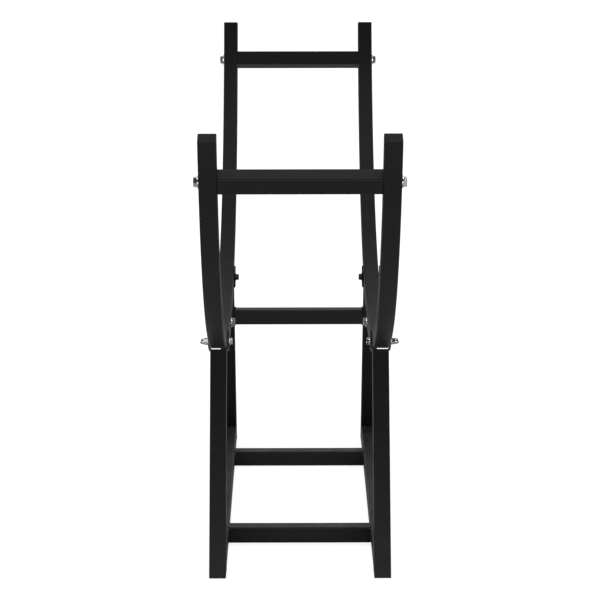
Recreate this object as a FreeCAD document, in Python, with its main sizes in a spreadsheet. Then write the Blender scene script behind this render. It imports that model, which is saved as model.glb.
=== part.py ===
import FreeCAD, Part
import os
import Sketcher

# A long, narrow crescent cradle: two curved square-tube arms joined by cross rails,
# carried in forks on the tops of four leaning legs over a floor frame.
# Frame: +X across the stand, -Y the front tips, +Z up, origin on the floor in the middle.

doc = FreeCAD.newDocument("crescent_cradle")
sheet = doc.addObject("Spreadsheet::Sheet", "Sizes")

SIZES = [
    ("tube", 26.0),              # square tube, outside width
    ("wall", 1.5),               # tube wall
    ("corner", 2.0),             # outside corner radius of the tube
    ("stand_width", 280.0),      # over the outer faces of the two side frames
    ("base_length", 807.0),      # over the feet of the legs, on the floor
    ("lean_angle", 24.0),        # legs, degrees from vertical
    ("bolt_below", 2.3),         # fork bolt below the arm's centreline, along the leg
    ("neck_front", 14.8),        # front leg end below the fork bolt
    ("neck_rear", 50.7),         # rear leg end below the fork bolt
    ("cheek_thick", 2.2),        # fork cheek plate
    ("cheek_clear", 1.0),        # gap between a cheek and the arm
    ("cheek_top", 16.5),         # cheek above the bolt
    ("cheek_round", 3.0),        # top corners of a cheek
    ("joggle_top", 11.8),        # start of the joggle below the bolt
    ("joggle_end", 14.8),        # end of the joggle below the bolt
    ("crossbar_inset", 173.0),   # leg's outer face to the floor crossbar's outer face
    ("rear_bar_top", 269.7),     # top of the bar between the rear legs
    ("cradle_low", 305.1),       # arm centreline at mid length
    ("bend_low", 908.2),         # radius of the bottom bend
    ("low_angle", 26.8),         # half angle of the bottom bend
    ("bend_high", 576.7),        # radius of the upper bends
    ("tip_angle", 71.0),         # slope of the arm at its tips
    ("rail_setback", 71.0),      # top rail's centre to the tip
    ("cap_flange", 2.5),         # tip cap outside the tube
    ("cap_plug", 12.0),          # tip cap inside the tube
    ("cap_clear", 0.25),         # tip cap to the tube's inside
    ("cap_round", 1.0),          # edge of the cap
    ("joiner_half", 60.0),       # half length of the joiner inside the arms
    ("joiner_wall", 2.0),        # joiner tube wall
    ("splice_reach", 18.0),      # splice bolt behind mid length
    ("insert_length", 18.0),     # threaded insert in a top rail's end
    ("small_bolt", 6.0),         # fork bolt thread
    ("small_hex", 10.0),         # across the flats
    ("small_head", 4.0),
    ("small_washer", 12.0),
    ("cap_nut_height", 12.0),
    ("cap_nut_hex", 5.0),        # height of the cap nut's hexagon
    ("large_bolt", 8.0),         # rail and splice bolt thread
    ("large_hex", 13.0),
    ("large_head", 5.5),
    ("large_washer", 18.0),
    ("large_nut", 6.5),
    ("washer_thick", 1.6),
    ("bolt_clear", 0.25),        # bolt to its hole, all round
    ("rail_bolt_length", 40.0),
    ("thread_past_nut", 2.0),
]
for row, (alias, size) in enumerate(SIZES, start=1):
    sheet.set("A%d" % row, alias)
    sheet.set("B%d" % row, str(size))
    sheet.setAlias("B%d" % row, alias)
doc.recompute()

# Expressions that several pieces share.
HALF = "Sizes.tube / 2"
SIDE = "(Sizes.stand_width - Sizes.tube) / 2"
INNER_SPAN = "(Sizes.stand_width - 2 * Sizes.tube)"
FOOT_Y = "(Sizes.base_length / 2 - Sizes.tube / 2 / cos(Sizes.lean_angle))"
FACE_IN_Y = "(Sizes.base_length / 2 - Sizes.tube / cos(Sizes.lean_angle))"
LOW_CENTRE_Z = "(Sizes.cradle_low + Sizes.bend_low)"
# The leg's axis runs from its foot to the arm's centreline, and the bolt is just below.
LEG_DOT = "(%s * sin(Sizes.lean_angle) + %s * cos(Sizes.lean_angle))" % (FOOT_Y, LOW_CENTRE_Z)
LEG_SQUARES = "(%s ^ 2 + %s ^ 2 - Sizes.bend_low ^ 2)" % (FOOT_Y, LOW_CENTRE_Z)
LEG_RUN = "(%s - sqrt(%s ^ 2 - %s))" % (LEG_DOT, LEG_DOT, LEG_SQUARES)
BOLT_RUN = "(%s - Sizes.bolt_below)" % LEG_RUN
BOLT_Y = "(%s - %s * sin(Sizes.lean_angle))" % (FOOT_Y, BOLT_RUN)
BOLT_Z = "(%s * cos(Sizes.lean_angle))" % BOLT_RUN
BEND_STEP = "(Sizes.bend_low - Sizes.bend_high)"
HIGH_CENTRE_Y = "(%s * sin(Sizes.low_angle))" % BEND_STEP
HIGH_CENTRE_Z = "(%s - %s * cos(Sizes.low_angle))" % (LOW_CENTRE_Z, BEND_STEP)
DEG_HIGH = "(180 / pi / Sizes.bend_high)"
TUBE_TURN = "(Sizes.tip_angle - Sizes.cap_flange * %s)" % DEG_HIGH
RAIL_TURN = "(Sizes.tip_angle - Sizes.rail_setback * %s)" % DEG_HIGH
SPLICE_TURN = "asin(Sizes.splice_reach / Sizes.bend_low)"
SMALL_HOLE = "(Sizes.small_bolt / 2 + Sizes.bolt_clear)"
LARGE_HOLE = "(Sizes.large_bolt / 2 + Sizes.bolt_clear)"
CHEEK_FACE = "(Sizes.tube / 2 + Sizes.cheek_clear + Sizes.cheek_thick)"

FRONT, REAR = -1, 1
LEFT, RIGHT = -1, 1
NODES = []


def number(expression):
    value = sheet.evalExpression(expression)
    return float(getattr(value, "Value", value))


def new_body(name):
    body = doc.addObject("PartDesign::Body", name)
    body.Label = name
    return body


def plane(body, role):
    for feature in body.Origin.OriginFeatures:
        if feature.Role == role:
            return feature
    raise ValueError(role)


def new_sketch(body, name, role):
    sketch = body.newObject("Sketcher::SketchObject", body.Name + "_" + name)
    sketch.AttachmentSupport = [(plane(body, role), "")]
    sketch.MapMode = "FlatFace"
    return sketch


def pin(sketch, geometry, point, spot):
    for kind, expression in (("DistanceX", spot[0]), ("DistanceY", spot[1])):
        value = number(expression)
        index = sketch.addConstraint(Sketcher.Constraint(kind, geometry, point, value))
        sketch.setExpression("Constraints[%d]" % index, expression)


def polygon(sketch, spots):
    points = [FreeCAD.Vector(number(a), number(b), 0) for a, b in spots]
    lines = []
    for i, start in enumerate(points):
        line = Part.LineSegment(start, points[(i + 1) % len(points)])
        lines.append(sketch.addGeometry(line, False))
    for i, line in enumerate(lines):
        after = lines[(i + 1) % len(lines)]
        sketch.addConstraint(Sketcher.Constraint("Coincident", line, 2, after, 1))
        pin(sketch, line, 1, spots[i])


def circle(sketch, spot, radius):
    centre = FreeCAD.Vector(number(spot[0]), number(spot[1]), 0)
    shape = Part.Circle(centre, FreeCAD.Vector(0, 0, 1), number(radius))
    ring = sketch.addGeometry(shape, False)
    pin(sketch, ring, 3, spot)
    index = sketch.addConstraint(Sketcher.Constraint("Radius", ring, number(radius)))
    sketch.setExpression("Constraints[%d]" % index, radius)


def square(sketch, centre, half, radius=None):
    """A square with optional rounded corners, given by expressions."""
    cx, cy = centre
    if radius is None:
        signs = ((-1, -1), (1, -1), (1, 1), (-1, 1))
        spots = [("%s + %d * (%s)" % (cx, a, half), "%s + %d * (%s)" % (cy, b, half))
                 for a, b in signs]
        polygon(sketch, spots)
        return
    far = "(%s)" % half
    near = "(%s - %s)" % (half, radius)
    ends = (((-1, near), (-1, far)), ((1, near), (-1, far)),
            ((1, far), (-1, near)), ((1, far), (1, near)),
            ((1, near), (1, far)), ((-1, near), (1, far)),
            ((-1, far), (1, near)), ((-1, far), (-1, near)))
    spots = [("%s + %d * %s" % (cx, a, ea), "%s + %d * %s" % (cy, b, eb))
             for (a, ea), (b, eb) in ends]
    points = [FreeCAD.Vector(number(a), number(b), 0) for a, b in spots]
    lines = []
    for i in range(0, 8, 2):
        lines.append(sketch.addGeometry(Part.LineSegment(points[i], points[i + 1]), False))
        pin(sketch, lines[-1], 1, spots[i])
        pin(sketch, lines[-1], 2, spots[i + 1])
    middle = FreeCAD.Vector(number(cx), number(cy), 0)
    reach = number(half) - number(radius)
    turn = number(radius) * 0.7071067811865476
    for i in range(4):
        start = points[2 * i + 1]
        end = points[(2 * i + 2) % 8]
        towards = start + end - middle * 2
        side_x = reach if towards.x > 0 else -reach
        side_y = reach if towards.y > 0 else -reach
        mid_x = middle.x + side_x + (turn if towards.x > 0 else -turn)
        mid_y = middle.y + side_y + (turn if towards.y > 0 else -turn)
        arc = sketch.addGeometry(Part.Arc(start, FreeCAD.Vector(mid_x, mid_y, 0), end), False)
        sketch.addConstraint(Sketcher.Constraint("Coincident", arc, 1, lines[i], 2))
        sketch.addConstraint(Sketcher.Constraint("Coincident", arc, 2, lines[(i + 1) % 4], 1))
        size = sketch.addConstraint(Sketcher.Constraint("Radius", arc, number(radius)))
        sketch.setExpression("Constraints[%d]" % size, radius)


def tube_section(body, name, role, centre=("0", "0")):
    sketch = new_sketch(body, name, role)
    square(sketch, centre, HALF, "Sizes.corner")
    square(sketch, centre, "(Sizes.tube / 2 - Sizes.wall)")
    return sketch


def pad(body, sketch, length, both=False, reverse=False):
    feature = body.newObject("PartDesign::Pad", sketch.Name + "_pad")
    feature.Profile = sketch
    feature.setExpression("Length", length)
    feature.Midplane = both
    feature.Reversed = reverse
    return feature


def pocket(body, sketch, length):
    feature = body.newObject("PartDesign::Pocket", sketch.Name + "_cut")
    feature.Profile = sketch
    feature.setExpression("Length", length)
    feature.Midplane = True
    return feature


def round_edges(body, radius, wanted):
    """Fillet the edges of the body so far whose boxes pass the test."""
    doc.recompute()
    base = body.Tip
    whole = base.Shape.BoundBox
    names = ["Edge%d" % i for i, edge in enumerate(base.Shape.Edges, start=1)
             if wanted(edge.BoundBox, whole)]
    feature = body.newObject("PartDesign::Fillet", body.Name + "_rounds")
    feature.Base = (base, names)
    feature.setExpression("Radius", radius)


def is_top_corner(box, whole):
    """An edge straight along X at the top of the piece."""
    return box.ZMin > whole.ZMax - 0.001 and box.YLength < 0.001


def turn_about(body, kind, sketch, axis, angle, reverse=False, both=False):
    feature = body.newObject(kind, sketch.Name + "_turn")
    feature.Profile = sketch
    feature.ReferenceAxis = (sketch, [axis])
    if angle.replace(".", "").isdigit():
        feature.Angle = float(angle)
    else:
        feature.setExpression("Angle", angle)
    feature.Reversed = reverse
    feature.Midplane = both
    return feature


def place(item, spot, axis=None, angle=None):
    base = FreeCAD.Vector(*[number(part) for part in spot])
    if axis is None:
        item.Placement = FreeCAD.Placement(base, FreeCAD.Rotation())
    else:
        turn = FreeCAD.Rotation(FreeCAD.Vector(*axis), number(angle))
        item.Placement = FreeCAD.Placement(base, turn)
        item.setExpression("Placement.Rotation.Angle", angle)
    for letter, part in zip("xyz", spot):
        item.setExpression("Placement.Base." + letter, part)


def signed(sign, expression):
    return "%d * %s" % (sign, expression)


# The legs: square tube, foot mitred to the floor, top cut square under the fork.
def leg(name, end, side, neck):
    body = new_body(name)
    sketch = tube_section(body, "section", "XY_Plane")
    drop = "Sizes.tube / 2 * tan(Sizes.lean_angle)"
    sketch.setExpression("AttachmentOffset.Base.z", "-(%s)" % drop)
    top = "%s - %s" % (BOLT_RUN, neck)
    pad(body, sketch, "%s + %s" % (top, drop))
    mitre = new_sketch(body, "mitre", "YZ_Plane")
    reach = "Sizes.tube"
    slope = "Sizes.tube * tan(Sizes.lean_angle)"
    polygon(mitre, [(signed(end, reach), "-(%s)" % slope),
                    (signed(-end, reach), slope),
                    (signed(-end, reach), "-2 * (%s)" % slope),
                    (signed(end, reach), "-2 * (%s)" % slope)])
    pocket(body, mitre, "2 * Sizes.tube")
    place(body, (signed(side, SIDE), signed(end, FOOT_Y), "0"), (end, 0, 0), "Sizes.lean_angle")
    NODES.append(body)


# A fork cheek: a flat bar the width of the tube, joggled outwards round the arm.
def cheek(name, end, side, face, neck):
    body = new_body(name)
    profile = new_sketch(body, "profile", "XZ_Plane")
    out = CHEEK_FACE
    into = "(Sizes.tube / 2 + Sizes.cheek_clear)"
    low_out = "(Sizes.tube / 2)"
    low_in = "(Sizes.tube / 2 - Sizes.cheek_thick)"
    spots = [(signed(face, into), "Sizes.cheek_top"),
             (signed(face, out), "Sizes.cheek_top"),
             (signed(face, out), "-Sizes.joggle_top"),
             (signed(face, low_out), "-Sizes.joggle_end")]
    if number(neck) > number("Sizes.joggle_end") + 0.01:
        spots.append((signed(face, low_out), "-" + neck))
        spots.append((signed(face, low_in), "-" + neck))
    spots.append((signed(face, low_in), "-Sizes.joggle_end"))
    spots.append((signed(face, into), "-Sizes.joggle_top"))
    polygon(profile, spots)
    pad(body, profile, "Sizes.tube", both=True)
    hole = new_sketch(body, "bolt_hole", "YZ_Plane")
    circle(hole, ("0", "0"), SMALL_HOLE)
    pocket(body, hole, "4 * Sizes.tube")
    round_edges(body, "Sizes.cheek_round", is_top_corner)
    bolt_at = (signed(side, SIDE), signed(end, BOLT_Y), BOLT_Z)
    place(body, bolt_at, (end, 0, 0), "Sizes.lean_angle")
    NODES.append(body)


for end, end_name, neck in ((FRONT, "front", "Sizes.neck_front"), (REAR, "rear", "Sizes.neck_rear")):
    for side, side_name in ((LEFT, "left"), (RIGHT, "right")):
        leg("%s_leg_%s" % (end_name, side_name), end, side, neck)
        for face, face_name in ((side, "outer"), (-side, "inner")):
            name = "fork_%s_%s_%s" % (end_name, side_name, face_name)
            cheek(name, end, side, face, neck)


# The floor rails: tube along Y between the legs, ends mitred to the legs' inner faces.
def floor_rail(name, side):
    body = new_body(name)
    sketch = tube_section(body, "section", "XZ_Plane", ("0", HALF))
    pad(body, sketch, "2 * %s" % FACE_IN_Y, both=True)
    mitre = new_sketch(body, "mitre", "YZ_Plane")
    for end in (FRONT, REAR):
        inset = "(%s - 2 * Sizes.tube * tan(Sizes.lean_angle))" % FACE_IN_Y
        beyond = "(%s + 2 * Sizes.tube)" % FACE_IN_Y
        polygon(mitre, [(signed(end, FACE_IN_Y), "0"),
                        (signed(end, inset), "2 * Sizes.tube"),
                        (signed(end, beyond), "2 * Sizes.tube"),
                        (signed(end, beyond), "0")])
    pocket(body, mitre, "2 * Sizes.tube")
    place(body, (signed(side, SIDE), "0", "0"))
    NODES.append(body)


# A straight bar across the stand, square or turned with what it meets.
def cross_tube(name, centre, spot, axis=None, angle=None):
    body = new_body(name)
    sketch = tube_section(body, "section", "YZ_Plane", centre)
    pad(body, sketch, INNER_SPAN, both=True)
    place(body, spot, axis, angle)
    NODES.append(body)


floor_rail("floor_rail_left", LEFT)
floor_rail("floor_rail_right", RIGHT)
BAR_Y = "(Sizes.base_length / 2 - Sizes.crossbar_inset - Sizes.tube / 2)"
cross_tube("floor_crossbar_front", ("0", HALF), ("0", signed(FRONT, BAR_Y), "0"))
cross_tube("floor_crossbar_rear", ("0", HALF), ("0", signed(REAR, BAR_Y), "0"))
REAR_BAR_Z = "(Sizes.rear_bar_top - Sizes.tube / 2)"
REAR_BAR_Y = "(%s - %s * tan(Sizes.lean_angle))" % (FOOT_Y, REAR_BAR_Z)
cross_tube("rear_crossbar", ("0", "0"), ("0", REAR_BAR_Y, REAR_BAR_Z))


# The arms: each side is two bent tubes that meet at mid length.
def arm(name, end, side):
    body = new_body(name)
    low = tube_section(body, "low", "XZ_Plane", ("0", "-Sizes.bend_low"))
    turn_about(body, "PartDesign::Revolution", low, "H_Axis", "Sizes.low_angle",
               reverse=(end == FRONT))
    high = tube_section(body, "high", "XZ_Plane", ("0", "-Sizes.bend_low"))
    swing = FreeCAD.Rotation(FreeCAD.Vector(end, 0, 0), number("Sizes.low_angle"))
    high.AttachmentOffset = FreeCAD.Placement(FreeCAD.Vector(), swing)
    high.setExpression("AttachmentOffset.Rotation.Angle", "Sizes.low_angle")
    step = -number(BEND_STEP)
    axle = Part.LineSegment(FreeCAD.Vector(-10, step, 0), FreeCAD.Vector(10, step, 0))
    line = high.addGeometry(axle, True)
    pin(high, line, 1, ("-10", "-" + BEND_STEP))
    pin(high, line, 2, ("10", "-" + BEND_STEP))
    turn_about(body, "PartDesign::Revolution", high, "Axis0",
               "%s - Sizes.low_angle" % TUBE_TURN, reverse=(end == FRONT))
    holes = new_sketch(body, "bolt_holes", "YZ_Plane")
    circle(holes, (signed(end, BOLT_Y), "%s - %s" % (BOLT_Z, LOW_CENTRE_Z)), SMALL_HOLE)
    if end == REAR:
        splice_z = "-Sizes.bend_low * cos(%s)" % SPLICE_TURN
        circle(holes, ("Sizes.splice_reach", splice_z), LARGE_HOLE)
    rail_y = "(%s + Sizes.bend_high * sin(%s))" % (HIGH_CENTRE_Y, RAIL_TURN)
    rail_z = "(%s + Sizes.bend_high * cos(%s))" % (BEND_STEP + " * cos(Sizes.low_angle)", RAIL_TURN)
    circle(holes, (signed(end, rail_y), "-" + rail_z), LARGE_HOLE)
    pocket(body, holes, "2 * Sizes.tube")
    place(body, (signed(side, SIDE), "0", LOW_CENTRE_Z))
    NODES.append(body)


# The joiner: a short bent tube welded into the front half of an arm and bolted to the rear.
def joiner(name, side):
    body = new_body(name)
    sketch = new_sketch(body, "section", "XZ_Plane")
    centre = ("0", "-Sizes.bend_low")
    square(sketch, centre, "(Sizes.tube / 2 - Sizes.wall)")
    square(sketch, centre, "(Sizes.tube / 2 - Sizes.wall - Sizes.joiner_wall)")
    turn_about(body, "PartDesign::Revolution", sketch, "H_Axis",
               "2 * Sizes.joiner_half / Sizes.bend_low * 180 / pi", both=True)
    holes = new_sketch(body, "bolt_holes", "YZ_Plane")
    splice_z = "-Sizes.bend_low * cos(%s)" % SPLICE_TURN
    circle(holes, ("Sizes.splice_reach", splice_z), LARGE_HOLE)
    pocket(body, holes, "2 * Sizes.tube")
    place(body, (signed(side, SIDE), "0", LOW_CENTRE_Z))
    NODES.append(body)


# A tip cap: a plastic flange the size of the tube with a plug pushed inside.
def tip_cap(name, end, side):
    body = new_body(name)
    centre = ("0", "-Sizes.bend_high")
    flange = new_sketch(body, "flange", "XZ_Plane")
    square(flange, centre, HALF, "Sizes.corner")
    outwards = (end == REAR)
    pad(body, flange, "Sizes.cap_flange", reverse=outwards)
    plug = new_sketch(body, "plug", "XZ_Plane")
    square(plug, centre, "(Sizes.tube / 2 - Sizes.wall - Sizes.cap_clear)")
    pad(body, plug, "Sizes.cap_plug", reverse=not outwards)
    far = end * number("Sizes.cap_flange")
    round_edges(body, "Sizes.cap_round",
                lambda box, whole: abs(box.YMin - far) < 0.001 and abs(box.YMax - far) < 0.001)
    spot = (signed(side, SIDE), signed(end, HIGH_CENTRE_Y), HIGH_CENTRE_Z)
    place(body, spot, (end, 0, 0), TUBE_TURN)
    NODES.append(body)


for end, end_name in ((FRONT, "front"), (REAR, "rear")):
    for side, side_name in ((LEFT, "left"), (RIGHT, "right")):
        arm("arm_%s_%s" % (end_name, side_name), end, side)
        tip_cap("tip_cap_%s_%s" % (end_name, side_name), end, side)
    spot = ("0", signed(end, HIGH_CENTRE_Y), HIGH_CENTRE_Z)
    cross_tube("top_rail_" + end_name, ("0", "-Sizes.bend_high"), spot, (end, 0, 0), RAIL_TURN)
joiner("arm_joiner_left", LEFT)
joiner("arm_joiner_right", RIGHT)


# Fasteners, each along X with its seat at X = 0, gathered in groups.
def hexagon(sketch, flats):
    reach = "(%s / 2)" % flats
    corner = "(%s / 2 / cos(30))" % flats
    half = "(%s / 2 * tan(30))" % flats
    polygon(sketch, [(reach, half), ("0", corner), ("-" + reach, half),
                     ("-" + reach, "-" + half), ("0", "-" + corner), (reach, "-" + half)])


def bevel(body, flats, height, way):
    """Turn the hexagon's outer corners down to a cone."""
    sketch = new_sketch(body, "bevel", "XZ_Plane")
    reach = "(%s / 2)" % flats
    corner = "(%s / 2 / cos(30) + 1)" % flats
    drop = "((%s - %s) * tan(30))" % (corner, reach)
    polygon(sketch, [(signed(way, height), reach),
                     (signed(way, "(%s - %s)" % (height, drop)), corner),
                     (signed(way, height), corner)])
    turn_about(body, "PartDesign::Groove", sketch, "H_Axis", "360")


def bolt(name, flats, head, thread, length, way):
    """Head from the seat towards way, shank the other way."""
    body = new_body(name)
    top = new_sketch(body, "head", "YZ_Plane")
    hexagon(top, flats)
    pad(body, top, head, reverse=(way < 0))
    shank = new_sketch(body, "shank", "YZ_Plane")
    circle(shank, ("0", "0"), "(%s / 2)" % thread)
    pad(body, shank, length, reverse=(way > 0))
    bevel(body, flats, head, way)
    return body


def washer(name, outside, hole, way):
    body = new_body(name)
    ring = new_sketch(body, "ring", "YZ_Plane")
    circle(ring, ("0", "0"), "(%s / 2)" % outside)
    circle(ring, ("0", "0"), hole)
    pad(body, ring, "Sizes.washer_thick", reverse=(way < 0))
    return body


def nut(name, flats, height, thread, way):
    body = new_body(name)
    ring = new_sketch(body, "ring", "YZ_Plane")
    hexagon(ring, flats)
    circle(ring, ("0", "0"), "(%s / 2)" % thread)
    pad(body, ring, height, reverse=(way < 0))
    bevel(body, flats, height, way)
    return body


def cap_nut(name, way):
    """A hexagon with a closed dome over the thread."""
    body = new_body(name)
    ring = new_sketch(body, "ring", "YZ_Plane")
    hexagon(ring, "Sizes.small_hex")
    pad(body, ring, "Sizes.cap_nut_hex", reverse=(way < 0))
    bevel(body, "Sizes.small_hex", "Sizes.cap_nut_hex", way)
    dome = new_sketch(body, "dome", "XZ_Plane")
    wide = "(Sizes.small_hex / 2 - 0.4)"
    low = signed(way, "(Sizes.cap_nut_height - %s)" % wide)
    foot = signed(way, "(Sizes.cap_nut_hex / 2)")
    tip = signed(way, "Sizes.cap_nut_height")
    add_dome(dome, foot, low, tip, wide, way)
    turn_about(body, "PartDesign::Revolution", dome, "H_Axis", "360")
    bore = new_sketch(body, "bore", "YZ_Plane")
    circle(bore, ("0", "0"), "(Sizes.small_bolt / 2)")
    hole = body.newObject("PartDesign::Pocket", name + "_bore_cut")
    hole.Profile = bore
    hole.setExpression("Length", "Sizes.cap_nut_height / 2 + 2")
    hole.Reversed = (way > 0)
    return body


def add_dome(sketch, foot, low, tip, wide, way):
    """Half profile of a round-ended pin on the horizontal axis."""
    spots = [(foot, "0"), (foot, wide), (low, wide), (tip, "0")]
    points = [FreeCAD.Vector(number(a), number(b), 0) for a, b in spots]
    rise = sketch.addGeometry(Part.LineSegment(points[0], points[1]), False)
    wall = sketch.addGeometry(Part.LineSegment(points[1], points[2]), False)
    centre = FreeCAD.Vector(points[2].x, 0, 0)
    swing = (points[2] - centre + points[3] - centre).normalize() * number(wide)
    first, last = (points[3], points[2]) if way > 0 else (points[2], points[3])
    cap = sketch.addGeometry(Part.Arc(first, centre + swing, last), False)
    base = sketch.addGeometry(Part.LineSegment(points[3], points[0]), False)
    pin(sketch, rise, 1, spots[0])
    pin(sketch, rise, 2, spots[1])
    pin(sketch, wall, 2, spots[2])
    pin(sketch, base, 1, spots[3])
    sketch.addConstraint(Sketcher.Constraint("Coincident", wall, 1, rise, 2))
    sketch.addConstraint(Sketcher.Constraint("Coincident", base, 2, rise, 1))
    up, down = (2, 1) if way > 0 else (1, 2)
    sketch.addConstraint(Sketcher.Constraint("Coincident", cap, up, wall, 2))
    sketch.addConstraint(Sketcher.Constraint("Coincident", cap, down, base, 1))
    size = sketch.addConstraint(Sketcher.Constraint("Radius", cap, number(wide)))
    sketch.setExpression("Constraints[%d]" % size, wide)


def gather(name, pieces):
    group = doc.addObject("Part::Compound", name)
    group.Label = name
    group.Links = pieces
    NODES.append(group)


# Fork bolts: head and washer inside the stand, washer and cap nut outside.
FORK_GRIP = "(2 * %s + 2 * Sizes.washer_thick)" % CHEEK_FACE
FORK_REACH = "(%s + Sizes.cap_nut_hex)" % FORK_GRIP
rings, nuts = [], []
for end, end_name in ((FRONT, "front"), (REAR, "rear")):
    heads = []
    for side, side_name in ((LEFT, "left"), (RIGHT, "right")):
        tag = "%s_%s" % (end_name, side_name)
        y = signed(end, BOLT_Y)
        z = BOLT_Z
        inside = "%s - %s" % (SIDE, CHEEK_FACE)
        outside = "%s + %s" % (SIDE, CHEEK_FACE)
        piece = bolt("fork_bolt_" + tag, "Sizes.small_hex", "Sizes.small_head",
                     "Sizes.small_bolt", FORK_REACH, -side)
        place(piece, (signed(side, "(%s - Sizes.washer_thick)" % inside), y, z))
        heads.append(piece)
        piece = washer("fork_washer_inner_" + tag, "Sizes.small_washer", SMALL_HOLE, -side)
        place(piece, (signed(side, "(%s)" % inside), y, z))
        rings.append(piece)
        piece = washer("fork_washer_outer_" + tag, "Sizes.small_washer", SMALL_HOLE, side)
        place(piece, (signed(side, "(%s)" % outside), y, z))
        rings.append(piece)
        piece = cap_nut("fork_cap_nut_" + tag, side)
        place(piece, (signed(side, "(%s + Sizes.washer_thick)" % outside), y, z))
        nuts.append(piece)
    gather("fork_bolts_" + end_name, heads)
gather("fork_washers", rings)
gather("fork_cap_nuts", nuts)

# Top rail bolts: from outside through the arm into a threaded insert in the rail.
RAIL_Y = "(%s + Sizes.bend_high * sin(%s))" % (HIGH_CENTRE_Y, RAIL_TURN)
RAIL_Z = "(%s - Sizes.bend_high * cos(%s))" % (HIGH_CENTRE_Z, RAIL_TURN)
heads, rings = [], []
for end, end_name in ((FRONT, "front"), (REAR, "rear")):
    for side, side_name in ((LEFT, "left"), (RIGHT, "right")):
        tag = "%s_%s" % (end_name, side_name)
        y = signed(end, RAIL_Y)
        face = "(Sizes.stand_width / 2)"
        seat = "(Sizes.stand_width / 2 + Sizes.washer_thick)"
        piece = bolt("rail_bolt_" + tag, "Sizes.large_hex", "Sizes.large_head",
                     "Sizes.large_bolt", "Sizes.rail_bolt_length", side)
        place(piece, (signed(side, seat), y, RAIL_Z), (end, 0, 0), RAIL_TURN)
        heads.append(piece)
        piece = washer("rail_washer_" + tag, "Sizes.large_washer", LARGE_HOLE, side)
        place(piece, (signed(side, face), y, RAIL_Z))
        rings.append(piece)
        body = new_body("rail_insert_" + tag)
        block = new_sketch(body, "block", "YZ_Plane")
        square(block, ("0", "0"), "(Sizes.tube / 2 - Sizes.wall)")
        circle(block, ("0", "0"), "(Sizes.large_bolt / 2)")
        pad(body, block, "Sizes.insert_length", reverse=(side > 0))
        end_face = signed(side, "(%s / 2)" % INNER_SPAN)
        place(body, (end_face, y, RAIL_Z), (end, 0, 0), RAIL_TURN)
        NODES.append(body)
gather("rail_bolts", heads)
gather("rail_washers", rings)

# Splice bolts: one on each side through the rear half of the arm and the joiner.
SPLICE_Z = "(%s - Sizes.bend_low * cos(%s))" % (LOW_CENTRE_Z, SPLICE_TURN)
heads, rings, nuts = [], [], []
for side, side_name in ((LEFT, "left"), (RIGHT, "right")):
    y = "Sizes.splice_reach"
    inside = "(Sizes.stand_width / 2 - Sizes.tube)"
    outside = "(Sizes.stand_width / 2)"
    reach = "Sizes.tube + 2 * Sizes.washer_thick + Sizes.large_nut + Sizes.thread_past_nut"
    piece = bolt("splice_bolt_" + side_name, "Sizes.large_hex", "Sizes.large_head",
                 "Sizes.large_bolt", reach, -side)
    place(piece, (signed(side, "(%s - Sizes.washer_thick)" % inside), y, SPLICE_Z))
    heads.append(piece)
    piece = washer("splice_washer_inner_" + side_name, "Sizes.large_washer", LARGE_HOLE, -side)
    place(piece, (signed(side, inside), y, SPLICE_Z))
    rings.append(piece)
    piece = washer("splice_washer_outer_" + side_name, "Sizes.large_washer", LARGE_HOLE, side)
    place(piece, (signed(side, outside), y, SPLICE_Z))
    rings.append(piece)
    piece = nut("splice_nut_" + side_name, "Sizes.large_hex", "Sizes.large_nut",
                "Sizes.large_bolt", side)
    place(piece, (signed(side, "(%s + Sizes.washer_thick)" % outside), y, SPLICE_Z))
    nuts.append(piece)
gather("splice_bolts", heads)
gather("splice_washers", rings)
gather("splice_nuts", nuts)

doc.recompute()

for item in doc.Objects:
    if "Invalid" in item.State or "Error" in item.State:
        raise RuntimeError("%s failed: %s" % (item.Name, item.State))
os.makedirs("parts", exist_ok=True)
for item in NODES:
    shape = item.Shape
    if shape.isNull() or not shape.isValid() or not shape.Solids:
        raise RuntimeError("%s has no valid solid" % item.Label)
    shape.exportStep("parts/%s.step" % item.Label)
    box = shape.optimalBoundingBox(False)
    print("%-28s %2d solids %10.1f mm3  x %.1f..%.1f y %.1f..%.1f z %.1f..%.1f" % (
        item.Label, len(shape.Solids), shape.Volume,
        box.XMin, box.XMax, box.YMin, box.YMax, box.ZMin, box.ZMax))
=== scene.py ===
import math
import random
from collections import namedtuple

import bmesh
import bpy
from mathutils import Matrix, Vector


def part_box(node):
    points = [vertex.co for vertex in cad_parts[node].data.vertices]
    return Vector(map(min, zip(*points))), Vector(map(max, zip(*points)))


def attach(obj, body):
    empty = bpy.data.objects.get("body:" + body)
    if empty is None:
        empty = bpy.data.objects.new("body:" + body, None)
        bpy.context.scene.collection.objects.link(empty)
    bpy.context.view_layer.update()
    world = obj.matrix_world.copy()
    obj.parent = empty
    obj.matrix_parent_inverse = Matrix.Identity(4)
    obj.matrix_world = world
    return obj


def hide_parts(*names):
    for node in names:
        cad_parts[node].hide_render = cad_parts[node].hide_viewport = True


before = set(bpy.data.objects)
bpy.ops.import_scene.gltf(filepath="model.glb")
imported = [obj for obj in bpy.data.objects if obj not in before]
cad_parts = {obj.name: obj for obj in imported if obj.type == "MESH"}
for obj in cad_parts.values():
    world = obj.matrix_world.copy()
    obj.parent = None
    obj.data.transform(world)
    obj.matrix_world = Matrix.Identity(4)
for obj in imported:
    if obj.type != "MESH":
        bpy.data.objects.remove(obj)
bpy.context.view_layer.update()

# ------------------------------------------------------------------ camera
# A long lens four paces in front of the near tips, a little above the stand
# and looking slightly down, with the tips one behind the other.
lens = bpy.data.cameras.new("long_lens")
lens.lens = 150.0
lens.sensor_width = 36.0
lens.clip_end = 60.0
camera = bpy.data.objects.new("camera", lens)
camera.location = (-0.0104, -4.056, 1.260)
camera.rotation_euler = (math.radians(90.0 - 12.68), 0.0012, -0.0032)
bpy.context.collection.objects.link(camera)
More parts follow.
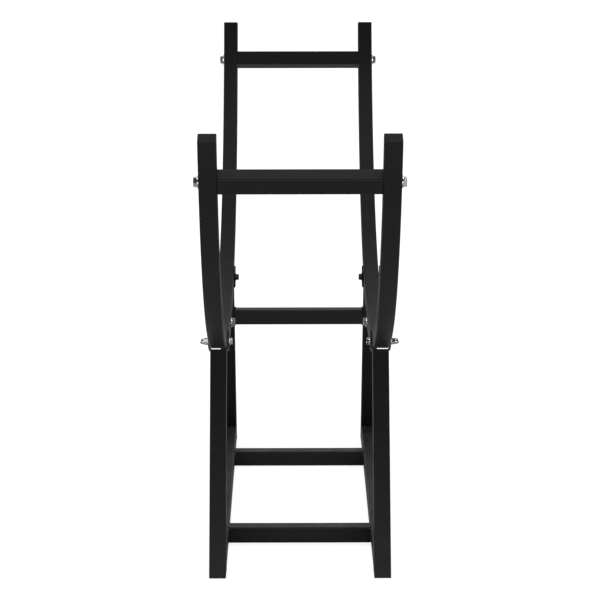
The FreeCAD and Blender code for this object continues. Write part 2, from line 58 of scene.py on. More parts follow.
bpy.context.scene.camera = camera
bpy.context.scene.view_settings.view_transform = "Standard"

# ------------------------------------------------------------------ studio
# A roll of white paper on the floor in a white room. Both look white to the lens
# and pale in reflections, duller on the side of the lens, and the paper keeps a
# faint shadow of the stand.
floor_mesh = bpy.data.meshes.new("studio_floor")
roll_half = 9.0
floor_corners = [(x * roll_half, y * roll_half, 0)
                 for x, y in ((-1, -1), (1, -1), (1, 1), (-1, 1))]
floor_mesh.from_pydata(floor_corners, [], [(0, 1, 2, 3)])
floor = bpy.data.objects.new("studio_floor", floor_mesh)
floor.location.z = -0.0006  # just under the rails, so that nothing flickers
bpy.context.collection.objects.link(floor)


def calc(tree, operation, one, other, clamp=False):
    """A maths node on two sockets or numbers."""
    node = tree.nodes.new("ShaderNodeMath")
    node.operation = operation
    node.use_clamp = clamp
    for index, value in enumerate((one, other)):
        if isinstance(value, (int, float)):
            node.inputs[index].default_value = value
        else:
            tree.links.new(value, node.inputs[index])
    return node.outputs[0]


def ramp(tree, source, low, high, start=0.0, stop=1.0):
    """Turn start..stop of a socket into low..high."""
    node = tree.nodes.new("ShaderNodeMapRange")
    node.inputs["From Min"].default_value = start
    node.inputs["From Max"].default_value = stop
    node.inputs["To Min"].default_value = low
    node.inputs["To Max"].default_value = high
    tree.links.new(source, node.inputs["Value"])
    return node.outputs["Result"]


paper = bpy.data.materials.new("floor_paper")
paper.use_nodes = True
tree = paper.node_tree
tree.nodes.clear()
out = tree.nodes.new("ShaderNodeOutputMaterial")
paper_lit = tree.nodes.new("ShaderNodeBsdfDiffuse")
paper_lit.inputs["Color"].default_value = (0.40, 0.40, 0.40, 1)
paper_glow = tree.nodes.new("ShaderNodeEmission")
both = tree.nodes.new("ShaderNodeAddShader")
path = tree.nodes.new("ShaderNodeLightPath").outputs
middle = tree.nodes.new("ShaderNodeTexCoord")
stride = tree.nodes.new("ShaderNodeVectorMath")
stride.operation = "LENGTH"
tree.links.new(middle.outputs["Object"], stride.inputs[0])
# White to the lens, a little less under the stand so that its shadow shows; dark in reflections,
# except for a painted reflection: a brighter patch near the stand, seen only in reflections, where
# the legs mirror the paper beneath them.
white = ramp(tree, stride.outputs["Value"], 0.83, 0.95, 0.5, 3.0)
mirrored = ramp(tree, stride.outputs["Value"], 0.06, 0.01, 0.34, 0.52)
straight = calc(tree, "MAXIMUM", path["Is Camera Ray"], path["Is Transmission Ray"])
straight = calc(tree, "MULTIPLY", straight, white)
mirrored = calc(tree, "MULTIPLY", path["Is Glossy Ray"], mirrored)
tree.links.new(calc(tree, "MAXIMUM", straight, mirrored), paper_glow.inputs["Strength"])
tree.links.new(paper_lit.outputs[0], both.inputs[0])
tree.links.new(paper_glow.outputs[0], both.inputs[1])
tree.links.new(both.outputs[0], out.inputs["Surface"])
floor.data.materials.append(paper)

surround = bpy.data.worlds.new("studio_surround")
bpy.context.scene.world = surround
surround.use_nodes = True
tree = surround.node_tree
tree.nodes.clear()
out = tree.nodes.new("ShaderNodeOutputWorld")
room = tree.nodes.new("ShaderNodeBackground")
room.inputs["Color"].default_value = (1, 1, 1, 1)
path = tree.nodes.new("ShaderNodeLightPath").outputs
heading = tree.nodes.new("ShaderNodeTexCoord")
compass = tree.nodes.new("ShaderNodeSeparateXYZ")
tree.links.new(heading.outputs["Generated"], compass.inputs[0])
# White to the lens, pale in reflections on the far side only, dim as a light.
straight = calc(tree, "MAXIMUM", path["Is Camera Ray"], path["Is Transmission Ray"])
mirrored = ramp(tree, compass.outputs["Y"], 0.06, 0.40, -0.2)
mirrored = calc(tree, "MULTIPLY", path["Is Glossy Ray"], mirrored)
ambient = calc(tree, "MULTIPLY", path["Is Diffuse Ray"], 0.37)
level = calc(tree, "MAXIMUM", calc(tree, "MAXIMUM", straight, mirrored), ambient)
tree.links.new(level, room.inputs["Strength"])
tree.links.new(room.outputs[0], out.inputs["Surface"])


def softbox(name, spot, aim, width, height, power):
    lamp = bpy.data.lights.new(name, "AREA")
    lamp.shape = "RECTANGLE"
    lamp.size = width
    lamp.size_y = height
    lamp.energy = power
    box = bpy.data.objects.new(name, lamp)
    box.location = spot
    box.rotation_euler = (Vector(aim) - Vector(spot)).to_track_quat("-Z", "Y").to_euler()
    bpy.context.collection.objects.link(box)


# One big softbox overhead and forward, a pair at the sides and a low one in front.
softbox("overhead_softbox", (0, -0.4, 3.4), (0, -0.2, 0.3), 2.6, 2.6, 11)
for side_name, side in (("left", -1), ("right", 1)):
    softbox(side_name + "_softbox", (side * 2.6, 0.6, 1.2), (0, 0, 0.4), 0.7, 2.2, 45)
softbox("low_softbox", (0, -2.3, 0.5), (0, -0.3, 0.05), 2.4, 0.7, 12)

# -------------------------------------------------------------- floor frame
# Two floor rails, two crossbars, four leaning legs and the high bar between the
# rear legs: 26 mm square steel tube, sawn, welded and sprayed satin black.


def new_group(name, inputs, outputs):
    group = bpy.data.node_groups.new(name, "ShaderNodeTree")
    for label, value in inputs:
        socket = group.interface.new_socket(label, in_out="INPUT", socket_type="NodeSocketFloat")
        socket.default_value = value
    for label, kind in outputs:
        group.interface.new_socket(label, in_out="OUTPUT", socket_type=kind)
    entry = group.nodes.new("NodeGroupInput")
    leave = group.nodes.new("NodeGroupOutput")
    return group, entry, leave


# Orange peel of baked powder: a fine dimple over a slow roll, as a height.
peel, entry, leave = new_group("Orange Peel", [("Dimple Scale", 520.0), ("Roll Scale", 60.0)],
                               [("Height", "NodeSocketFloat")])
place = peel.nodes.new("ShaderNodeTexCoord")
dimple = peel.nodes.new("ShaderNodeTexNoise")
dimple.inputs["Detail"].default_value = 2.0
roll = peel.nodes.new("ShaderNodeTexNoise")
roll.inputs["Detail"].default_value = 1.0
for texture, label in ((dimple, "Dimple Scale"), (roll, "Roll Scale")):
    peel.links.new(place.outputs["Object"], texture.inputs["Vector"])
    peel.links.new(entry.outputs[label], texture.inputs["Scale"])
slow_roll = calc(peel, "MULTIPLY", roll.outputs["Fac"], 0.04)
relief = calc(peel, "ADD", dimple.outputs["Fac"], slow_roll)
peel.links.new(relief, leave.inputs["Height"])

# Settled dust and painted top light: a thin pale film on faces that look up, broken by noise,
# standing both for dust and for light falling on the tops.
dust_and_top_light, entry, leave = new_group("Settled Dust And Top Light", [("Amount", 0.5), ("Patch Scale", 26.0)],
                               [("Mask", "NodeSocketFloat")])
shape = dust_and_top_light.nodes.new("ShaderNodeNewGeometry")
split = dust_and_top_light.nodes.new("ShaderNodeSeparateXYZ")
dust_and_top_light.links.new(shape.outputs["Normal"], split.inputs[0])
upward = calc(dust_and_top_light, "SUBTRACT", split.outputs["Z"], 0.35)
upward = calc(dust_and_top_light, "MULTIPLY", upward, 1.6, clamp=True)
place = dust_and_top_light.nodes.new("ShaderNodeTexCoord")
patch = dust_and_top_light.nodes.new("ShaderNodeTexNoise")
patch.inputs["Detail"].default_value = 6.0
patch.inputs["Roughness"].default_value = 0.62
dust_and_top_light.links.new(place.outputs["Object"], patch.inputs["Vector"])
dust_and_top_light.links.new(entry.outputs["Patch Scale"], patch.inputs["Scale"])
uneven = calc(dust_and_top_light, "SUBTRACT", patch.outputs["Fac"], 0.3)
uneven = calc(dust_and_top_light, "MULTIPLY", uneven, 1.9, clamp=True)
film = calc(dust_and_top_light, "MULTIPLY", upward, uneven)
film = calc(dust_and_top_light, "MULTIPLY", film, entry.outputs["Amount"])
dust_and_top_light.links.new(film, leave.inputs["Mask"])


def place_group(material, group, **values):
    node = material.node_tree.nodes.new("ShaderNodeGroup")
    node.node_tree = group
    for label, value in values.items():
        node.inputs[label.replace("_", " ")].default_value = value
    return node


def blend_colour(material, mask, one, other):
    node = material.node_tree.nodes.new("ShaderNodeMix")
    node.data_type = "RGBA"
    material.node_tree.links.new(mask, node.inputs["Factor"])
    for socket, colour in ((node.inputs[6], one), (node.inputs[7], other)):
        if isinstance(colour, tuple):
            socket.default_value = colour
        else:
            material.node_tree.links.new(colour, socket)
    return node.outputs[2]


def object_noise(material, scale, detail=2.0):
    """A noise that stays on the object, as a factor."""
    spot = material.node_tree.nodes.new("ShaderNodeTexCoord")
    noise = material.node_tree.nodes.new("ShaderNodeTexNoise")
    noise.inputs["Scale"].default_value = scale
    noise.inputs["Detail"].default_value = detail
    material.node_tree.links.new(spot.outputs["Object"], noise.inputs["Vector"])
    return noise.outputs["Fac"]


def roughen(material, shader, relief, strength, distance):
    """Tilt a shader's normal by a height."""
    bump = material.node_tree.nodes.new("ShaderNodeBump")
    bump.inputs["Strength"].default_value = strength
    bump.inputs["Distance"].default_value = distance
    material.node_tree.links.new(relief.outputs["Height"], bump.inputs["Height"])
    material.node_tree.links.new(bump.outputs["Normal"], shader.inputs["Normal"])


powder = bpy.data.materials.new("satin_black_powder")
powder.use_nodes = True
skin = powder.node_tree.nodes["Principled BSDF"]
skin.inputs["Specular IOR Level"].default_value = 0.30
links = powder.node_tree.links
cloud = object_noise(powder, 7.0, 3.0)
black = blend_colour(powder, cloud, (0.0070, 0.0070, 0.0071, 1), (0.0078, 0.0078, 0.0079, 1))
# Dust and painted top light, both stronger near the floor than on the high bars.
spot = powder.node_tree.nodes.new("ShaderNodeTexCoord")
height = powder.node_tree.nodes.new("ShaderNodeSeparateXYZ")
links.new(spot.outputs["Object"], height.inputs[0])
near_floor = ramp(powder.node_tree, height.outputs["Z"], 0.46, 0.08, 0.0, 0.30)
settled_and_top_lit = place_group(powder, dust_and_top_light, Patch_Scale=26.0)
links.new(near_floor, settled_and_top_lit.inputs["Amount"])
# Pale film on upward faces: partly dust, partly a painted highlight where light falls on the tops.
dusted_and_top_lit = blend_colour(powder, settled_and_top_lit.outputs["Mask"], black, (0.10, 0.098, 0.094, 1))
links.new(dusted_and_top_lit, skin.inputs["Base Color"])
links.new(ramp(powder.node_tree, cloud, 0.36, 0.40), skin.inputs["Roughness"])
pebbled = place_group(powder, peel, Dimple_Scale=620.0, Roll_Scale=70.0)
roughen(powder, skin, pebbled, 0.16, 0.0004)


def finish_nodes(starts, material):
    """Give a material to each solid whose name starts so."""
    for name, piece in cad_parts.items():
        if name.startswith(starts):
            for slot in piece.material_slots:
                slot.material = material


finish_nodes(("floor_rail", "floor_crossbar", "front_leg", "rear_leg", "rear_crossbar"), powder)


def own(bm, name, material):
    """Close a bmesh into a finished object of this stand, creased at its sharp edges."""
    crease = math.radians(38)
    bmesh.ops.recalc_face_normals(bm, faces=bm.faces)
    for face in bm.faces:
        face.smooth = True
    for edge in bm.edges:
        if len(edge.link_faces) == 2 and edge.calc_face_angle(0) > crease:
            edge.smooth = False
    mesh = bpy.data.meshes.new(name)
    bm.to_mesh(mesh)
    bm.free()
    mesh.materials.append(material)
    piece = bpy.data.objects.new(name, mesh)
    bpy.context.collection.objects.link(piece)
    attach(piece, "root")
    return piece


# Weld beads: rippled runs of weld in the corners where the tubes meet, sprayed
# with the tubes. Each run is laid in short overlapping puddles.
def run_weld(bm, start, end, left, right, crown, root):
    """A run from start to end, spread to left and right, raised by crown, rooted in the corner."""
    start, end = Vector(start), Vector(end)
    left, right, crown, root = Vector(left), Vector(right), Vector(crown), Vector(root)
    puddle_pitch = 0.0021
    station_gap = 0.00055
    run_out = 0.002
    along = end - start
    length = along.length
    along.normalize()
    stations = max(12, int(length / station_gap))
    ribs = []
    phase = random.uniform(0, 6.28)
    for i in range(stations + 1):
        reach = i / stations * length
        edge = min(reach, length - reach) / run_out
        swell = math.sqrt(max(0.0, 1 - (1 - min(1, edge)) ** 2)) * 0.85 + 0.15
        wander = 1 + 0.10 * math.sin(reach * 410 + phase)
        wander += 0.06 * math.sin(reach * 973 + 2 * phase)
        rib = []
        for j in range(9):
            v = j / 4 - 1
            puddle = (reach / puddle_pitch + 0.55 * v * v + 0.04 * wander) % 1
            ripple = 0.78 + 0.22 * math.sqrt(1 - puddle * puddle * 0.98)
            flat = left * (1 - v) / 2 + right * (1 + v) / 2
            spot = start + along * reach + flat * swell * wander
            spot += crown * (1 - v * v) * swell * ripple * wander
            rib.append(bm.verts.new(spot))
        rib.append(bm.verts.new(start + along * reach + root))
        ribs.append(rib)
    for one, two in zip(ribs, ribs[1:]):
        for j in range(10):
            k = (j + 1) % 10
            bm.faces.new((one[j], one[k], two[k], two[j]))
    bm.faces.new(ribs[0])
    bm.faces.new(list(reversed(ribs[-1])))


random.seed(11)
spread = 0.0032     # how far a run reaches over each of its two faces
rise = 0.0007       # how far it stands out of the corner
sunk = 0.0004       # how far its back is sunk in the corner
clear = 0.0012      # where a run stops, short of a rounded edge
beads = bmesh.new()
low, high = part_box("floor_rail_right")
tube = high.x - low.x
side_x = (low.x + high.x) / 2

# The floor crossbars: two upright runs and one over the top at each end.
for name in ("floor_crossbar_front", "floor_crossbar_rear"):
    low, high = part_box(name)
    for side, x in ((1, low.x), (-1, high.x)):
        for way, y in ((-1, low.y), (1, high.y)):
            run_weld(beads, (x, y, 0.001), (x, y, high.z - clear),
                     (side * spread, 0, 0), (0, way * spread, 0),
                     (side * rise, way * rise, 0), (-side * sunk, -way * sunk, 0))
        seam_z = high.z - 0.0006
        run_weld(beads, (x, low.y + 0.001, seam_z), (x, high.y - 0.001, seam_z),
                 (side * 0.0030, 0, 0.0004), (-side * 0.0028, 0, 0.0004),
                 (0, 0, 0.0010), (0, 0, -0.0010))

# The legs on the floor rails: one run over the top and one down each side.
lean = math.radians(24.0)
for name in ("floor_rail_left", "floor_rail_right"):
    low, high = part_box(name)
    for end, y_low in ((-1, low.y), (1, high.y)):
        y_high = y_low - end * tube * math.tan(lean)
        into = Vector((0, -end * math.cos(lean), -math.sin(lean)))
        run_weld(beads, (low.x + clear, y_high, high.z), (high.x - clear, y_high, high.z),
                 (0, -end * spread, 0),
                 (0, -end * spread * math.sin(lean), spread * math.cos(lean)),
                 (0, -end * 0.0006, 0.0006), (0, end * 0.0005, -0.0005))
        for side, x in ((-1, low.x), (1, high.x)):
            skin_gap = Vector((side * 0.00005, 0, 0))
            run_weld(beads, (x, y_low - end * 0.0008, 0.0016),
                     (x, y_high + end * 0.0004, high.z - clear),
                     skin_gap + into * 0.0022, skin_gap - into * 0.0022,
                     (side * 0.00055, 0, 0), (-side * 0.0008, 0, 0))

# The high bar between the rear legs: a run along each edge of its two ends.
low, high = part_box("rear_crossbar")
centre = (low.z + high.z) / 2
for side, x in ((1, low.x), (-1, high.x)):
    for way, z in ((-1, low.z), (1, high.z)):
        shift = way * tube / 2 * math.tan(lean)
        y0 = max(low.y, low.y - shift - 0.0002) + clear
        y1 = min(high.y, high.y - shift + 0.0002) - clear
        run_weld(beads, (x, y0, z), (x, y1, z), (side * spread, 0, 0), (0, 0, way * spread),
                 (side * rise, 0, way * rise), (-side * sunk, 0, -way * sunk))
    for way, y in ((-1, low.y), (1, high.y)):
        z0 = centre - 0.46 * tube if way > 0 else centre + 0.0015
        z1 = centre - 0.0015 if way > 0 else centre + 0.46 * tube
        run_weld(beads, (x, y, z0), (x, y, z1),
                 (side * spread * 0.8, 0, 0), (0, way * spread * 0.8, 0),
                 (side * 0.0006, way * 0.0006, 0), (-side * sunk, -way * sunk, 0))
own(beads, "weld_beads", powder)

# -------------------------------------------------------------------- forks
# Eight cheeks of flat bar, pressed with a joggle so that each pair straddles an
# arm, corners rounded, welded flush into the leg tops and sprayed with them.
cheek_thick = 0.0022
cheek_clear = 0.001                         # between a cheek and the arm
cheek_top = 0.0165                          # heights are counted from the bolt
corner = 0.003
joggle_low, joggle_high = -0.0148, -0.0112
flat_low = (tube - cheek_thick) / 2         # flush in the leg
flat_high = tube / 2 + cheek_clear + cheek_thick / 2
joggle_rise = joggle_high - joggle_low
upright = cheek_top - corner - joggle_high
columns = 8


def half_width(z):
    """Half a cheek's width at a height: full, then round at its top corners."""
    drop = max(0, z - cheek_top + corner)
    return tube / 2 - (corner - math.sqrt(max(0, corner ** 2 - drop ** 2)))


def press_cheek(bm, place, face, neck, heights):
    """Skin both faces of a joggled plate, close its rim and break the rim's edges."""
    skins = {1: [], -1: []}
    for z in heights:
        t = min(1, max(0, (z - joggle_low) / joggle_rise))
        ease = t * t * (3 - 2 * t)
        slope = 6 * t * (1 - t) / joggle_rise * (flat_high - flat_low)
        x = flat_low + (flat_high - flat_low) * ease
        up = Vector((slope, 0, 1)).normalized()
        out_way = Vector((up.z, 0, -up.x))
        half = half_width(z)
        for skin_side, rows in skins.items():
            spot = Vector((x, 0, z)) + out_way * skin_side * cheek_thick / 2
            row = []
            for k in range(columns + 1):
                y = half * (k / 4 - 1)
                row.append(bm.verts.new(place @ Vector((face * spot.x, y, spot.z))))
            rows.append(row)
    for rows in skins.values():
        for one, two in zip(rows, rows[1:]):
            for k in range(columns):
                bm.faces.new((one[k], one[k + 1], two[k + 1], two[k]))
    out, back = skins[1], skins[-1]
    last = len(heights) - 1
    for i in range(last):
        for k in (0, columns):
            bm.faces.new((out[i][k], out[i + 1][k], back[i + 1][k], back[i][k]))
    for i in (0, last):
        for k in range(columns):
            bm.faces.new((out[i][k], out[i][k + 1], back[i][k + 1], back[i][k]))
    rim = [e for e in bm.edges if e.calc_face_angle(0) > math.radians(55)
           and not all((place.inverted() @ v.co).z < -neck + 0.0001 for v in e.verts)]
    bmesh.ops.bevel(bm, geom=rim, offset=0.0005, segments=2, affect="EDGES", profile=0.6)


for end_name, end, neck in (("front", -1, 0.0148), ("rear", 1, 0.0507)):
    bolt_low, bolt_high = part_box("fork_bolts_" + end_name)
    bolt_y = (bolt_low.y + bolt_high.y) / 2
    bolt_z = (bolt_low.z + bolt_high.z) / 2
    heights = []
    if end > 0:
        heights += [-neck + (neck + joggle_low - 0.0003) * k / 6 for k in range(6)]
    heights += [joggle_low + joggle_rise * k / 8 for k in range(9)]
    heights += [joggle_high + upright * k / 8 for k in range(1, 9)]
    heights += [cheek_top - corner * math.cos(math.radians(90) * k / 6) for k in range(1, 7)]
    for side_name, side in (("left", -1), ("right", 1)):
        for face_name, face in (("outer", side), ("inner", -side)):
            spin = Matrix.Rotation(lean * end, 4, "X")
            place = Matrix.Translation((side * side_x, bolt_y, bolt_z)) @ spin
            bm = bmesh.new()
            press_cheek(bm, place, face, neck, heights)
            where = "%s_%s_%s" % (end_name, side_name, face_name)
            cheek = own(bm, "cheek_" + where, powder)
            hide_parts("fork_" + where)

# ----------------------------------------------------------- arms and rails
# Four lengths of the same tube, rolled to a curve, two to a side, the front one with
# a joiner that slides into the rear one. Two straight top rails are bolted between
# the sides. All of them are sprayed satin black.
finish_nodes(("arm_front", "arm_rear", "top_rail"), powder)

# The joiners and the inserts in the rail ends are bare steel inside the tubes.
bare = bpy.data.materials.new("bare_mill_steel")
bare.use_nodes = True
steel = bare.node_tree.nodes["Principled BSDF"]
steel.inputs["Metallic"].default_value = 1.0
links = bare.node_tree.links
mill_scale = object_noise(bare, 45.0, 5.0)
scaled = blend_colour(bare, mill_scale, (0.20, 0.20, 0.21, 1), (0.34, 0.33, 0.32, 1))
links.new(scaled, steel.inputs["Base Color"])
links.new(ramp(bare.node_tree, mill_scale, 0.38, 0.62), steel.inputs["Roughness"])
finish_nodes(("arm_joiner", "rail_insert"), bare)

# ----------------------------------------------------------------- tip caps
# Moulded black plastic caps in the four open tube ends: a flange the size of the
# tube, round at its edge, with a plug pushed inside.
plastic = bpy.data.materials.new("black_cap_plastic")
plastic.use_nodes = True
moulded = plastic.node_tree.nodes["Principled BSDF"]
moulded.inputs["Specular IOR Level"].default_value = 0.28
links = plastic.node_tree.links
# A light film of dust and painted top light on the caps' upward faces.
cap_dust_and_top_light = place_group(plastic, dust_and_top_light, Amount=0.12, Patch_Scale=40.0)
dusted_and_top_lit = blend_colour(plastic, cap_dust_and_top_light.outputs["Mask"],
                     (0.0070, 0.0070, 0.0070, 1), (0.09, 0.09, 0.088, 1))
links.new(dusted_and_top_lit, moulded.inputs["Base Color"])
grain = place_group(plastic, peel, Dimple_Scale=1500.0, Roll_Scale=240.0)
dullness = ramp(plastic.node_tree, grain.outputs["Height"], 0.46, 0.60)
links.new(dullness, moulded.inputs["Roughness"])
roughen(plastic, moulded, grain, 0.22, 0.0002)
finish_nodes("tip_cap", plastic)

# ---------------------------------------------------------------- fasteners
# Zinc-plated hex bolts, flat washers, plain nuts and domed cap nuts: forged or
# turned, each left at the angle the spanner left it. The rear fork bolts are
# blacked instead of plated.

# Rubbed edges and a painted edge highlight: where the surface turns sharply the finish is thinner
# and shinier, and the paler colour there also stands for light caught on the edges.
rub_and_highlight, entry, leave = new_group("Rubbed Edges And Highlight", [("Reach", 1.0)], [("Mask", "NodeSocketFloat")])
shape = rub_and_highlight.nodes.new("ShaderNodeNewGeometry")
sharp = calc(rub_and_highlight, "SUBTRACT", shape.outputs["Pointiness"], 0.515)
sharp = calc(rub_and_highlight, "MULTIPLY", sharp, 9.0, clamp=True)
place = rub_and_highlight.nodes.new("ShaderNodeTexCoord")
chips = rub_and_highlight.nodes.new("ShaderNodeTexNoise")
chips.inputs["Scale"].default_value = 85.0
chips.inputs["Detail"].default_value = 4.0
rub_and_highlight.links.new(place.outputs["Object"], chips.inputs["Vector"])
broken = calc(rub_and_highlight, "SUBTRACT", chips.outputs["Fac"], 0.38)
broken = calc(rub_and_highlight, "MULTIPLY", broken, 3.2, clamp=True)
worn_and_lit = calc(rub_and_highlight, "MULTIPLY", sharp, broken)
worn_and_lit = calc(rub_and_highlight, "MULTIPLY", worn_and_lit, entry.outputs["Reach"])
rub_and_highlight.links.new(worn_and_lit, leave.inputs["Mask"])

zinc = bpy.data.materials.new("bright_zinc_plate")
zinc.use_nodes = True
plate = zinc.node_tree.nodes["Principled BSDF"]
plate.inputs["Metallic"].default_value = 1.0
links = zinc.node_tree.links
tint = object_noise(zinc, 160.0, 4.0)
plated = blend_colour(zinc, tint, (0.62, 0.63, 0.65, 1), (0.76, 0.75, 0.73, 1))
# Paler zinc on sharp edges: rubbed plating and a painted edge highlight.
edge_wear_and_highlight = place_group(zinc, rub_and_highlight, Reach=0.8)
rubbed_and_highlit_zinc = blend_colour(zinc, edge_wear_and_highlight.outputs["Mask"], plated, (0.88, 0.88, 0.86, 1))
links.new(rubbed_and_highlit_zinc, plate.inputs["Base Color"])
links.new(ramp(zinc.node_tree, tint, 0.10, 0.20), plate.inputs["Roughness"])
tumbled = place_group(zinc, peel, Dimple_Scale=2200.0, Roll_Scale=400.0)
roughen(zinc, plate, tumbled, 0.12, 0.0001)

blacked = bpy.data.materials.new("blacked_steel")
blacked.use_nodes = True
oxide = blacked.node_tree.nodes["Principled BSDF"]
links = blacked.node_tree.links
shade = object_noise(blacked, 210.0)
browned = blend_colour(blacked, shade, (0.010, 0.010, 0.011, 1), (0.020, 0.020, 0.021, 1))
links.new(browned, oxide.inputs["Base Color"])
links.new(ramp(blacked.node_tree, shade, 0.30, 0.45), oxide.inputs["Roughness"])


def turn_rings(bm, place, rings, loop=False, steps=48):
    """Skin a stack of rings, each (radius, height) or a function of the angle."""
    rows = []
    for ring in rings:
        row = []
        for i in range(steps):
            angle = 2 * math.pi * i / steps
            radius, height = ring(angle) if callable(ring) else ring
            spot = Vector((radius * math.cos(angle), radius * math.sin(angle), height))
            row.append(bm.verts.new(place @ spot))
        rows.append(row)
    pairs = list(zip(rows, rows[1:]))
    if loop:
        pairs.append((rows[-1], rows[0]))
    for one, two in pairs:
        for i in range(steps):
            j = (i + 1) % steps
            bm.faces.new((one[i], one[j], two[j], two[i]))
    if not loop:
        bm.faces.new(rows[0])
        bm.faces.new(list(reversed(rows[-1])))


def hex_reach(flats, angle):
    return flats / 2 / math.cos((angle + math.pi / 6) % (math.pi / 3) - math.pi / 6)


chamfer_slope = math.tan(math.radians(30))


def chamfered(flats, height):
    """Top edge of a hexagon whose corners are turned down to a cone."""
    return lambda angle: (hex_reach(flats, angle) - 0.00012,
                          height - (hex_reach(flats, angle) - flats / 2) * chamfer_slope)


def plain_hex(flats, height, shrink=0.0):
    return lambda angle: (hex_reach(flats, angle) - shrink, height)


def add_head(bm, place, flats, height):
    turn_rings(bm, place, [
        (flats * 0.10, 0.0), (flats * 0.46, 0.0), (flats * 0.46, 0.0003),
        plain_hex(flats, 0.0003, 0.0001), plain_hex(flats, 0.0006),
        chamfered(flats, height - 0.0001), (flats * 0.475, height - 0.00003),
        (flats * 0.45, height), (flats * 0.33, height),
        (flats * 0.30, height - 0.0003), (flats * 0.05, height - 0.0003)])


def add_shank(bm, place, radius, length, pitch, smooth_part):
    """A rod going down from the seat, with a rolled thread at its lower end."""
    rows = [(radius, 0.0), (radius, -smooth_part)]
    count = int((length - smooth_part - 0.001) / pitch * 8)
    for i in range(count + 1):
        depth = smooth_part + 0.0003 + i * pitch / 8

        def thread(angle, depth=depth):
            turn = (depth / pitch - angle / (2 * math.pi)) % 1
            return radius - 0.00055 * abs(2 * turn - 1) * 1.1, -depth
        rows.append(thread)
    rows += [(radius * 0.86, -length + 0.0004), (radius * 0.72, -length)]
    turn_rings(bm, place, rows, steps=32)


def add_washer(bm, place, outside, inside, thick):
    soft = 0.0002
    turn_rings(bm, place, [
        (inside, soft), (inside + soft, 0), (outside - soft, 0), (outside, soft),
        (outside, thick - soft * 1.6), (outside - soft * 1.6, thick), (inside + soft, thick),
        (inside, thick - soft)], loop=True)


def add_nut(bm, place, flats, height, hole):
    turn_rings(bm, place, [
        (hole, 0.0004), (hole + 0.0005, 0), (flats * 0.47, 0),
        lambda a: (hex_reach(flats, a) - 0.00012,
                   (hex_reach(flats, a) - flats / 2) * chamfer_slope + 0.0001),
        chamfered(flats, height - 0.0001), (flats * 0.47, height), (hole + 0.0005, height),
        (hole, height - 0.0004)], loop=True)


def add_cap_nut(bm, place, flats, hex_height, height):
    wide = flats / 2 - 0.0004
    low = height - wide
    dome = [(wide * math.cos(math.radians(a)), low + wide * math.sin(math.radians(a)))
            for a in range(0, 90, 9)]
    turn_rings(bm, place, [
        (flats * 0.30, 0), (flats * 0.47, 0),
        lambda a: (hex_reach(flats, a) - 0.0001, (hex_reach(flats, a) - flats / 2) * 0.5 + 0.0001),
        chamfered(flats, hex_height - 0.0001), (flats * 0.475, hex_height),
        (wide + 0.0001, hex_height + 0.0002), (wide, hex_height + 0.0006),
        *dome, (wide * 0.06, height)])


def seat(x, y, z, way, spanner):
    """A place whose +Z points along X, turned by the spanner's last angle."""
    turn = Matrix.Rotation(math.pi / 2 * way, 4, "Y")
    return Matrix.Translation((x, y, z)) @ turn @ Matrix.Rotation(spanner, 4, "Z")


# Catalogue sizes of the two bolts: radius, thread pitch, width across flats, head
# height, and the radius and bore of the washer under it.
Bolt = namedtuple("Bolt", "radius pitch flats head washer bore")
m6 = Bolt(0.003, 0.001, 0.010, 0.004, 0.006, 0.0032)
m8 = Bolt(0.004, 0.00125, 0.013, 0.0055, 0.009, 0.0043)
washer_thick = 0.0016
turn_limit = math.pi / 3        # a spanner leaves a hexagon anywhere in a sixth of a turn

random.seed(5)
cheek_face = flat_high + cheek_thick / 2
arm_out = side_x + tube / 2
arm_in = side_x - tube / 2
parts = {name: bmesh.new() for name in (
    "fork_bolts_front", "fork_bolts_rear", "fork_washers", "fork_cap_nuts",
    "rail_bolts", "rail_washers", "splice_bolts", "splice_washers", "splice_nuts")}


def add_ring(name, bolt, x, y, z, way):
    add_washer(parts[name], seat(x, y, z, way, 0), bolt.washer, bolt.bore, washer_thick)


def add_bolt(name, bolt, place, length, smooth_part):
    add_head(parts[name], place, bolt.flats, bolt.head)
    add_shank(parts[name], place, bolt.radius, length, bolt.pitch, smooth_part)


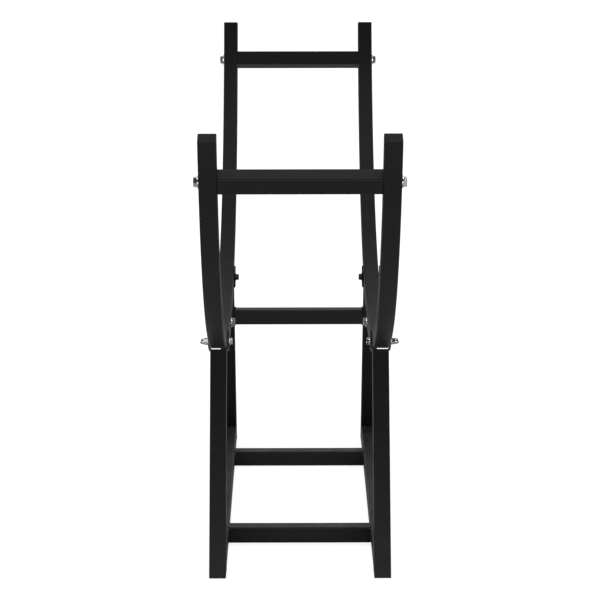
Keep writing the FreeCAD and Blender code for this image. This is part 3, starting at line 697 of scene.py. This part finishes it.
# Fork bolts: head and washer inside, washer and cap nut outside.
low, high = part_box("fork_bolts_front")
bolt_y, bolt_z = abs(low.y + high.y) / 2, (low.z + high.z) / 2
for end, end_name in ((-1, "front"), (1, "rear")):
    for side in (-1, 1):
        inside = side * (side_x - cheek_face)
        outside = side * (side_x + cheek_face)
        spanner = random.uniform(0, turn_limit)
        head = seat(inside - side * washer_thick, end * bolt_y, bolt_z, -side, spanner)
        add_bolt("fork_bolts_" + end_name, m6, head, 0.040, 0.030)
        inner_ring = "fork_bolts_rear" if end > 0 else "fork_washers"
        add_ring(inner_ring, m6, inside, end * bolt_y, bolt_z, -side)
        add_ring("fork_washers", m6, outside, end * bolt_y, bolt_z, side)
        spanner = random.uniform(0, turn_limit)
        cap = seat(outside + side * washer_thick, end * bolt_y, bolt_z, side, spanner)
        add_cap_nut(parts["fork_cap_nuts"], cap, m6.flats, 0.005, 0.012)

# Rail bolts: head and washer outside, thread in the rail's insert.
low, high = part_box("top_rail_front")
bolt_y, bolt_z = abs(low.y + high.y) / 2, (low.z + high.z) / 2
for end in (-1, 1):
    for side in (-1, 1):
        spanner = random.uniform(0, turn_limit)
        add_ring("rail_washers", m8, side * arm_out, end * bolt_y, bolt_z, side)
        head = seat(side * (arm_out + washer_thick), end * bolt_y, bolt_z, side, spanner)
        add_bolt("rail_bolts", m8, head, 0.040, 0.012)

# Splice bolts: head and washer inside, washer and plain nut outside.
low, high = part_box("splice_nuts")
bolt_y, bolt_z = (low.y + high.y) / 2, (low.z + high.z) / 2
for side in (-1, 1):
    spanner = random.uniform(0, turn_limit)
    add_ring("splice_washers", m8, side * arm_in, bolt_y, bolt_z, -side)
    add_ring("splice_washers", m8, side * arm_out, bolt_y, bolt_z, side)
    head = seat(side * (arm_in - washer_thick), bolt_y, bolt_z, -side, spanner)
    add_bolt("splice_bolts", m8, head, 0.0367, 0.022)
    spanner = random.uniform(0, turn_limit)
    nut = seat(side * (arm_out + washer_thick), bolt_y, bolt_z, side, spanner)
    add_nut(parts["splice_nuts"], nut, m8.flats, 0.0065, 0.0041)

for name, bm in parts.items():
    metal, slot_name = (blacked, "black_steel") if name == "fork_bolts_rear" else (zinc, "zinc")
    piece = own(bm, "detailed_" + name, metal)
    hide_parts(name)
